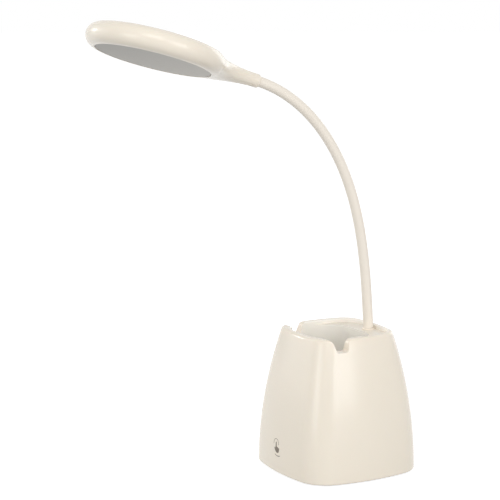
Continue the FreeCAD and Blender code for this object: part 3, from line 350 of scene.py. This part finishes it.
def closeShell(tree, kept, turned):
    # the two skins of a wall, one of them turned over, welded along their edges
    flipped = addNode(tree, "GeometryNodeFlipFaces", i0=turned).outputs[0]
    skins = joinParts(tree, flipped, kept)
    return addNode(tree, "GeometryNodeMergeByDistance", Geometry=skins, Distance=weldDistance).outputs[0]


def finishTree(tree, geometry, smooth, material, out):
    shaded = addNode(tree, "GeometryNodeSetShadeSmooth", i0=geometry, i2=smooth)
    real = addNode(tree, "GeometryNodeRealizeInstances", i0=shaded.outputs[0])
    dressed = addNode(tree, "GeometryNodeSetMaterial", i0=real.outputs[0], Material=material)
    tree.links.new(dressed.outputs[0], out)


def growMesh(name, tree, values, start=None):
    # runs the tree on a start mesh, or on none, and keeps the result as a plain mesh
    piece = newObject(name, start or bpy.data.meshes.new(name))
    modifier = piece.modifiers.new(tree.name, "NODES")
    modifier.node_group = tree
    sockets = {item.name: item.identifier for item in tree.interface.items_tree if item.in_out == "INPUT"}
    for key, value in values.items():
        modifier[sockets[key]] = value
    bpy.context.view_layer.update()
    grown = bpy.data.meshes.new_from_object(piece.evaluated_get(bpy.context.evaluated_depsgraph_get()))
    piece.modifiers.clear()
    piece.data = grown
    grown.name = name
    return piece


# neck sleeve: one piece over each bending place, all on one curve

neck = {
    "rootY": 0.0270, "rootZ": 0.0980, "length": 0.2170, "spans": 10,
    "rootLean": 3.5, "endLean": 72.5, "curl": 2.0,          # degrees from upright, and how late the bend comes
    "radius": 0.00365, "wall": 0.00070, "footGap": 0.0011, "intoCollar": 0.003,
    "rings": 24, "sides": 64, "rim": 0.00004,               # rim: from each end to the ring beside it
}
neckFoot = Vector((0, neck["rootY"], 0))
bendAxis = next(joint["axis"] for joint in frame["joints"] if joint["name"] == "lower_bend")
neckSwing = math.atan2(bendAxis[1], bendAxis[0])        # the neck's plane, turned from square


def swung(place):
    return Matrix.Rotation(neckSwing, 3, up) @ (Vector(place) - neckFoot) + neckFoot


def neckLean(share):
    return math.radians(neck["rootLean"] + (neck["endLean"] - neck["rootLean"]) * share ** neck["curl"])


def neckSpans():
    # each span is one arc, tangent to its neighbours
    step = neck["length"] / neck["spans"]
    here = Vector((0, neck["rootY"], neck["rootZ"]))
    spans = []
    for number in range(neck["spans"]):
        low, high = neckLean(number / neck["spans"]), neckLean((number + 1) / neck["spans"])
        radius = step / (high - low)
        centre = here - Vector((0, math.cos(low), math.sin(low))) * radius
        there = centre + Vector((0, math.cos(high), math.sin(high))) * radius
        first = neck["footGap"] if number == 0 else 0.0
        last = step + (neck["intoCollar"] if number == neck["spans"] - 1 else 0.0)
        spans.append({"centre": centre, "radius": radius, "lean": low + first / radius, "length": last - first,
                      "start": swung(here), "end": swung(there)})
        here = there
    return spans


def buildSleeveTree():
    # a straight tube whose end rings stand close, bent round the arc's centre
    tree, given, out = newGeometryTree("sleeveTube", [
        ("Centre", "NodeSocketVector"), ("Bend Radius", "NodeSocketFloat"), ("Start Lean", "NodeSocketFloat"),
        ("Length", "NodeSocketFloat"), ("Rim", "NodeSocketFloat"), ("Radius", "NodeSocketFloat"),
        ("Wall", "NodeSocketFloat"), ("Rings", "NodeSocketInt"), ("Sides", "NodeSocketInt"),
        ("Foot", "NodeSocketVector"), ("Swing", "NodeSocketFloat"), ("Material", "NodeSocketMaterial")])
    tube = addNode(tree, "GeometryNodeMeshCylinder", {"fill_type": "NONE"}, Vertices=given["Sides"],
                   Radius=given["Radius"], Depth=1.0, **{"Side Segments": given["Rings"]})
    wall = extrudeFaces(tree, tube.outputs[0], mathNode(tree, "MULTIPLY", given["Wall"], -1.0))
    closed = closeShell(tree, tube.outputs[0], wall)

    place = addNode(tree, "GeometryNodeInputPosition").outputs[0]
    x, y, z = addNode(tree, "ShaderNodeSeparateXYZ", i0=place).outputs
    ring = mathNode(tree, "MULTIPLY", mathNode(tree, "ADD", z, 0.5), given["Rings"])
    spread = addNode(tree, "ShaderNodeMapRange", {"clamp": False}, Value=ring, **{
        "From Min": 1.0, "From Max": mathNode(tree, "SUBTRACT", given["Rings"], 1.0),
        "To Min": given["Rim"], "To Max": mathNode(tree, "SUBTRACT", given["Length"], given["Rim"])})
    along = addNode(tree, "ShaderNodeClamp", Value=spread.outputs[0], Min=0.0, Max=given["Length"]).outputs[0]
    lean = mathNode(tree, "ADD", given["Start Lean"], mathNode(tree, "DIVIDE", along, given["Bend Radius"]))
    reach = mathNode(tree, "ADD", given["Bend Radius"], y)
    bent = vectorOf(tree, x, mathNode(tree, "MULTIPLY", reach, mathNode(tree, "COSINE", lean)),
                    mathNode(tree, "MULTIPLY", reach, mathNode(tree, "SINE", lean)))
    standing = vectorNode(tree, "ADD", bent, given["Centre"])
    turned = addNode(tree, "ShaderNodeVectorRotate", {"rotation_type": "Z_AXIS"}, Vector=standing,
                     Center=given["Foot"], Angle=given["Swing"])
    moved = addNode(tree, "GeometryNodeSetPosition", Geometry=closed, Position=turned.outputs[0])
    finishTree(tree, moved.outputs[0], True, given["Material"], out)
    return tree


def makeNeckSleeve():
    tree = buildSleeveTree()
    for number, span in enumerate(neckSpans()):
        sleeve = growMesh(f"neckSleeve{number + 1}", tree, {
            "Centre": span["centre"], "Bend Radius": span["radius"], "Start Lean": span["lean"],
            "Length": span["length"], "Rim": neck["rim"], "Radius": neck["radius"], "Wall": neck["wall"],
            "Rings": neck["rings"], "Sides": neck["sides"], "Foot": neckFoot, "Swing": neckSwing,
            "Material": materials["sleeveCream"]})
        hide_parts(f"neck_sleeve_{number + 1}")
        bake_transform(sleeve)


makeNeckSleeve()
print("neck sleeve", neck["spans"])


# outlines drawn flat, x to the right and y up, as loops of edges

def outlineMesh(name, loops):
    points, edges = [], []
    for loop in loops:
        first = len(points)
        points += [(x, y, 0.0) for x, y in loop]
        edges += [(first + i, first + (i + 1) % len(loop)) for i in range(len(loop))]
    mesh = bpy.data.meshes.new(name)
    mesh.from_pydata(points, edges, [])
    return mesh


def arcBand(middle, radius, width, turn, steps=32):
    # an arc of some width, between two angles in degrees from the right
    first, last = turn
    angles = [math.radians(first + (last - first) * i / steps) for i in range(steps + 1)]
    outside = [(radius + width / 2, angle) for angle in angles]
    inside = [(radius - width / 2, angle) for angle in reversed(angles)]
    return [(middle[0] + r * math.cos(angle), middle[1] + r * math.sin(angle)) for r, angle in outside + inside]


def roundedLoop(points, passes=2):
    # cuts each corner at a quarter of its sides, a few times over
    for _ in range(passes):
        cut = []
        for here, there in zip(points, points[1:] + points[:1]):
            cut.append(tuple(0.75 * a + 0.25 * b for a, b in zip(here, there)))
            cut.append(tuple(0.25 * a + 0.75 * b for a, b in zip(here, there)))
        points = cut
    return points


# foot ring: soft rubber under the base, a band with short treads across it

footRing = {
    "half": 0.0440, "sideRadius": 0.1485, "cornerRadius": 0.0215, "steps": 10,     # its middle line in plan
    "band": 0.0030, "top": 0.0019, "treadHeight": 0.00035, "treadLength": 0.0024, "treadWidth": 0.0007,
    "treadPitch": 0.0015,
}


def bulgedSquare(half, sideRadius, cornerRadius, steps):
    # a square with gently bulging sides and tangent round corners, as a loop of places in plan
    reach = sideRadius - half
    spread = sideRadius - cornerRadius
    corner = (math.sqrt(2 * spread ** 2 - reach ** 2) - reach) / 2
    lean = math.atan2(corner, corner + reach)
    quarter = [(sideRadius * math.cos(t) - reach, sideRadius * math.sin(t))
               for t in (lean * (2 * i / steps - 1) for i in range(steps))]
    quarter += [(corner + cornerRadius * math.cos(t), corner + cornerRadius * math.sin(t))
                for t in (lean + (math.pi / 2 - 2 * lean) * i / steps for i in range(steps))]
    loop = []
    for turn in range(4):
        c, s = round(math.cos(turn * math.pi / 2)), round(math.sin(turn * math.pi / 2))
        loop += [(x * c - y * s, x * s + y * c) for x, y in quarter]
    return loop


def buildFootRingTree():
    tree, given, out = newGeometryTree("footRing", [
        ("Band", "NodeSocketFloat"), ("Top", "NodeSocketFloat"), ("Tread Height", "NodeSocketFloat"),
        ("Tread Length", "NodeSocketFloat"), ("Tread Width", "NodeSocketFloat"), ("Tread Pitch", "NodeSocketFloat"),
        ("Material", "NodeSocketMaterial")])
    loop = addNode(tree, "GeometryNodeMeshToCurve", i0=given["Geometry"]).outputs[0]
    path = addNode(tree, "GeometryNodeSetCurveNormal", {"mode": "Z_UP"}, Curve=loop).outputs[0]
    depth = mathNode(tree, "SUBTRACT", given["Top"], given["Tread Height"])
    section = addNode(tree, "GeometryNodeCurvePrimitiveQuadrilateral", i0=given["Band"], i1=depth)
    band = addNode(tree, "GeometryNodeCurveToMesh", i0=path, i1=section.outputs[0])
    raised = mathNode(tree, "ADD", given["Tread Height"], mathNode(tree, "MULTIPLY", depth, 0.5))
    stood = shiftPart(tree, band.outputs[0], vectorOf(tree, z=raised))
    places = addNode(tree, "GeometryNodeCurveToPoints", {"mode": "LENGTH"}, Curve=path, Length=given["Tread Pitch"])
    facing = addNode(tree, "FunctionNodeAlignRotationToVector", {"axis": "Y", "pivot_axis": "Z"},
                     Vector=places.outputs["Tangent"])
    sunkHeight = mathNode(tree, "MULTIPLY", given["Tread Height"], 2.0)      # half of it inside the band
    size = vectorOf(tree, given["Tread Length"], given["Tread Width"], sunkHeight)
    tread = addNode(tree, "GeometryNodeMeshCube", Size=size)
    treads = addNode(tree, "GeometryNodeInstanceOnPoints", Points=places.outputs["Points"],
                     Instance=tread.outputs[0], Rotation=facing.outputs[0])
    lifted = shiftPart(tree, treads.outputs[0], vectorOf(tree, z=given["Tread Height"]))
    finishTree(tree, joinParts(tree, lifted, stood), False, given["Material"], out)
    return tree


def makeFootRing():
    path = outlineMesh("footRing", [bulgedSquare(footRing["half"], footRing["sideRadius"],
                                                 footRing["cornerRadius"], footRing["steps"])])
    ring = growMesh("footRing", buildFootRingTree(), {
        "Band": footRing["band"], "Top": footRing["top"], "Tread Height": footRing["treadHeight"],
        "Tread Length": footRing["treadLength"], "Tread Width": footRing["treadWidth"],
        "Tread Pitch": footRing["treadPitch"], "Material": materials["padRubber"]}, path)
    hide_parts("non_slip_ring")
    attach(ring, "base")


makeFootRing()
print("foot ring")


# touch mark: a pointing hand, printed on the front wall

touchMark = {
    "hand": [  # x and z on the wall, millimetres
        (1.4, 15.3), (2.3, 16.9), (2.6, 18.4), (2.2, 19.1), (1.6, 19.2), (1.2, 18.8), (0.8, 19.5), (0.1, 19.6),
        (-0.3, 19.2), (-0.6, 19.8), (-1.1, 19.8), (-1.25, 20.4), (-1.25, 22.6), (-1.5, 23.1), (-2.0, 23.1),
        (-2.5, 22.6), (-2.5, 20.5), (-2.6, 18.0), (-3.2, 18.9), (-4.0, 18.9), (-4.0, 18.1), (-2.9, 16.7),
        (-1.3, 15.3)],
    "ringMiddle": (-1.9, 21.9), "ringRadius": 3.3, "ringWidth": 0.34, "ringTurn": (-12, 192),
    "sweepMiddle": (0.5, 22.4), "sweepRadius": 9.2, "sweepWidth": 0.5, "sweepTurn": (-112, -68),
    "thickness": 0.00008, "sunk": 0.00002, "startY": -0.09, "reach": 0.1,
}


def buildInkTree():
    # fills the outlines, gives them thickness and lays them on the wall behind
    tree, given, out = newGeometryTree("inkOnWall", [
        ("Wall", "NodeSocketObject"), ("Thickness", "NodeSocketFloat"), ("Sunk", "NodeSocketFloat"),
        ("Start Y", "NodeSocketFloat"), ("Reach", "NodeSocketFloat"), ("Material", "NodeSocketMaterial")])
    area = addNode(tree, "GeometryNodeFillCurve",
                   i0=addNode(tree, "GeometryNodeMeshToCurve", i0=given["Geometry"]).outputs[0]).outputs[0]
    closed = closeShell(tree, extrudeFaces(tree, area, given["Thickness"]), area)
    place = addNode(tree, "GeometryNodeInputPosition").outputs[0]
    x, z, height = addNode(tree, "ShaderNodeSeparateXYZ", i0=place).outputs
    source = vectorOf(tree, x, given["Start Y"], z)
    wall = addNode(tree, "GeometryNodeObjectInfo", Object=given["Wall"]).outputs["Geometry"]
    ray = addNode(tree, "GeometryNodeRaycast", **{
        "Target Geometry": wall, "Source Position": source, "Ray Direction": (0.0, 1.0, 0.0),
        "Ray Length": given["Reach"]})
    lift = vectorOf(tree, y=mathNode(tree, "SUBTRACT", given["Sunk"], height))
    laid = vectorNode(tree, "ADD", ray.outputs["Hit Position"], lift)
    moved = addNode(tree, "GeometryNodeSetPosition", Geometry=closed, Position=laid)
    finishTree(tree, moved.outputs[0], False, given["Material"], out)
    return tree


def makeTouchMark():
    loops = [roundedLoop(touchMark["hand"])]
    loops += [arcBand(*[touchMark[name + field] for field in ("Middle", "Radius", "Width", "Turn")])
              for name in ("ring", "sweep")]
    metres = [[(x / 1000, z / 1000) for x, z in loop] for loop in loops]
    mark = growMesh("touchMark", buildInkTree(), {
        "Wall": nodes["base_housing"], "Thickness": touchMark["thickness"], "Sunk": touchMark["sunk"],
        "Start Y": touchMark["startY"], "Reach": touchMark["reach"],
        "Material": materials["printInk"]}, outlineMesh("touchMark", metres))
    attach(mark, "base")


makeTouchMark()
print("touch mark")


# charging inlet: a dark tongue with a row of contacts on both faces

inlet = {
    "middle": (0.0, 0.0112), "backY": 0.0422, "frontY": 0.04808, "width": 0.00652, "thickness": 0.00082,
    "noseBevel": 0.00022, "noseSteps": 3,
    "contacts": 9, "pitch": 0.00062, "contactWidth": 0.00032, "contactFrontY": 0.0476, "contactLength": 0.0030,
    "contactHeight": 0.00004,
}


def makeInletTongue():
    # a flat bar with its front edges rounded
    mesh = bpy.data.meshes.new("inletTongue")
    shape = bmesh.new()
    bmesh.ops.create_cube(shape, size=1.0)
    length = inlet["frontY"] - inlet["backY"]
    for vertex in shape.verts:
        vertex.co = (inlet["middle"][0] + vertex.co.x * inlet["width"],
                     inlet["backY"] + (vertex.co.y + 0.5) * length,
                     inlet["middle"][1] + vertex.co.z * inlet["thickness"])
    front = [edge for edge in shape.edges if all(end.co.y > inlet["frontY"] - weldDistance for end in edge.verts)]
    bmesh.ops.bevel(shape, geom=front, offset=inlet["noseBevel"], segments=inlet["noseSteps"],
                    affect="EDGES", profile=0.5)
    shape.to_mesh(mesh)
    shape.free()
    mesh.materials.append(materials["blackPlastic"])
    tongue = newObject("inletTongue", mesh)
    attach(tongue, "base")


def buildContactTree():
    # one row of bars, and its twin on the other face
    tree, given, out = newGeometryTree("contactRows", [
        ("Count", "NodeSocketInt"), ("Pitch", "NodeSocketFloat"), ("Bar Size", "NodeSocketVector"),
        ("Row Middle", "NodeSocketVector"), ("Face Gap", "NodeSocketFloat"), ("Material", "NodeSocketMaterial")])
    span = mathNode(tree, "MULTIPLY", given["Pitch"], mathNode(tree, "SUBTRACT", given["Count"], 1.0))
    start = vectorNode(tree, "ADD", vectorOf(tree, mathNode(tree, "MULTIPLY", span, -0.5)), given["Row Middle"])
    row = addNode(tree, "GeometryNodeMeshLine", Count=given["Count"], Offset=vectorOf(tree, given["Pitch"]),
                  **{"Start Location": start})
    bar = addNode(tree, "GeometryNodeMeshCube", Size=given["Bar Size"])
    bars = addNode(tree, "GeometryNodeInstanceOnPoints", Points=row.outputs[0], Instance=bar.outputs[0])
    rows = [shiftPart(tree, bars.outputs[0], vectorOf(tree, z=mathNode(tree, "MULTIPLY", given["Face Gap"], side)))
            for side in (0.5, -0.5)]
    finishTree(tree, joinParts(tree, *rows), False, given["Material"], out)
    return tree


def makeInletContacts():
    middleY = inlet["contactFrontY"] - inlet["contactLength"] / 2
    contacts = growMesh("inletContacts", buildContactTree(), {
        "Count": inlet["contacts"], "Pitch": inlet["pitch"],
        "Bar Size": (inlet["contactWidth"], inlet["contactLength"], 2 * inlet["contactHeight"]),
        "Row Middle": (inlet["middle"][0], middleY, inlet["middle"][1]), "Face Gap": inlet["thickness"],
        "Material": materials["contactGold"]})
    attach(contacts, "base")


makeInletTongue()
makeInletContacts()
print("charging inlet", 2 * inlet["contacts"], "contacts")


# stage: pale floor, white surroundings, soft boxes and the camera

stageSettings = {
    "eye": (1.0082, -0.5717, 0.3575), "aim": (-0.0306, -0.0540, 0.1575), "lens": 118.3, "film": 36.0,
    "nearest": 0.01, "farthest": 50.0, "floorRadius": 8.0, "floorSides": 96, "floorRoughness": 0.9,
    "floorColour": (188, 188, 188), "floorGlow": 0.78, "ambient": 0.54,
}
softBoxes = [
    # name, place, aim, width, height, watts
    ("keyBox", (1.3, -0.75, 1.25), (0, 0, 0.12), 0.9, 0.9, 7.5),
    ("sideBox", (1.8, 0.28, 0.60), (0, 0, 0.08), 0.9, 1.0, 10.6),
    ("frontBox", (0.6, -1.7, 0.30), (0, 0, 0.03), 0.7, 1.0, 5.6),
    ("leftSpot", (-1.3, -1.0, 0.6), (0, 0, 0.15), 0.22, 0.22, 2.6),
    ("leftBox", (-1.2, -1.3, 0.5), (0, 0, 0.10), 1.3, 1.3, 5.0),
    ("backBox", (-0.9, 1.7, 0.5), (0, 0, 0.08), 1.1, 1.1, 4.2),
]


def makeCamera():
    camera = newObject("camera", bpy.data.cameras.new("camera"))
    camera.location = swung(stageSettings["eye"])
    toward = swung(stageSettings["aim"]) - camera.location
    camera.rotation_euler = toward.to_track_quat("-Z", "Y").to_euler()
    camera.data.lens = stageSettings["lens"]
    camera.data.sensor_width = stageSettings["film"]
    camera.data.clip_start = stageSettings["nearest"]
    camera.data.clip_end = stageSettings["farthest"]
    bpy.context.scene.camera = camera


def makeSoftBoxes():
    for name, place, aim, width, height, watts in softBoxes:
        lamp = bpy.data.lights.new(name, "AREA")
        lamp.shape = "RECTANGLE"
        lamp.size = width
        lamp.size_y = height
        lamp.energy = watts
        box = newObject(name, lamp)
        box.location = place
        box.rotation_euler = (Vector(aim) - Vector(place)).to_track_quat("-Z", "Y").to_euler()


def seenDirectly(tree):
    # 1 for what the camera, a gloss or a clear piece looks at
    path = addNode(tree, "ShaderNodeLightPath").outputs
    either = mathNode(tree, "MAXIMUM", path["Is Camera Ray"], path["Is Glossy Ray"])
    return mathNode(tree, "MAXIMUM", either, path["Is Transmission Ray"])


def makeSurroundings():
    world = bpy.data.worlds.new("studio")
    world.use_nodes = True
    bpy.context.scene.world = world
    tree = world.node_tree
    tree.nodes.clear()
    soft = addNode(tree, "ShaderNodeBackground", Color=(1, 1, 1, 1), Strength=stageSettings["ambient"])
    white = addNode(tree, "ShaderNodeBackground", Color=(1, 1, 1, 1), Strength=1.0)
    mix = addNode(tree, "ShaderNodeMixShader", i0=seenDirectly(tree), i1=soft.outputs[0], i2=white.outputs[0])
    out = tree.nodes.new("ShaderNodeOutputWorld")
    tree.links.new(mix.outputs[0], out.inputs[0])


def makeFloor():
    mesh = bpy.data.meshes.new("floor")
    shape = bmesh.new()
    bmesh.ops.create_circle(shape, cap_ends=True, segments=stageSettings["floorSides"],
                            radius=stageSettings["floorRadius"])
    shape.to_mesh(mesh)
    shape.free()
    floor = newObject("floor", mesh)
    material = bpy.data.materials.new("paleFloor")
    material.use_nodes = True
    tree = material.node_tree
    shader = tree.nodes["Principled BSDF"]
    shader.inputs["Base Color"].default_value = toLinear(stageSettings["floorColour"])
    shader.inputs["Roughness"].default_value = stageSettings["floorRoughness"]
    shader.inputs["Specular IOR Level"].default_value = 0.0
    glow = addNode(tree, "ShaderNodeEmission", Color=(1, 1, 1, 1), Strength=stageSettings["floorGlow"])
    lit = addNode(tree, "ShaderNodeAddShader", i0=shader.outputs[0], i1=glow.outputs[0])
    mix = addNode(tree, "ShaderNodeMixShader", i0=seenDirectly(tree), i1=shader.outputs[0], i2=lit.outputs[0])
    tree.links.new(mix.outputs[0], tree.nodes["Material Output"].inputs[0])
    mesh.materials.append(material)


makeCamera()
makeSoftBoxes()
makeSurroundings()
makeFloor()
bpy.context.scene.view_settings.view_transform = "Standard"
print("stage ready")
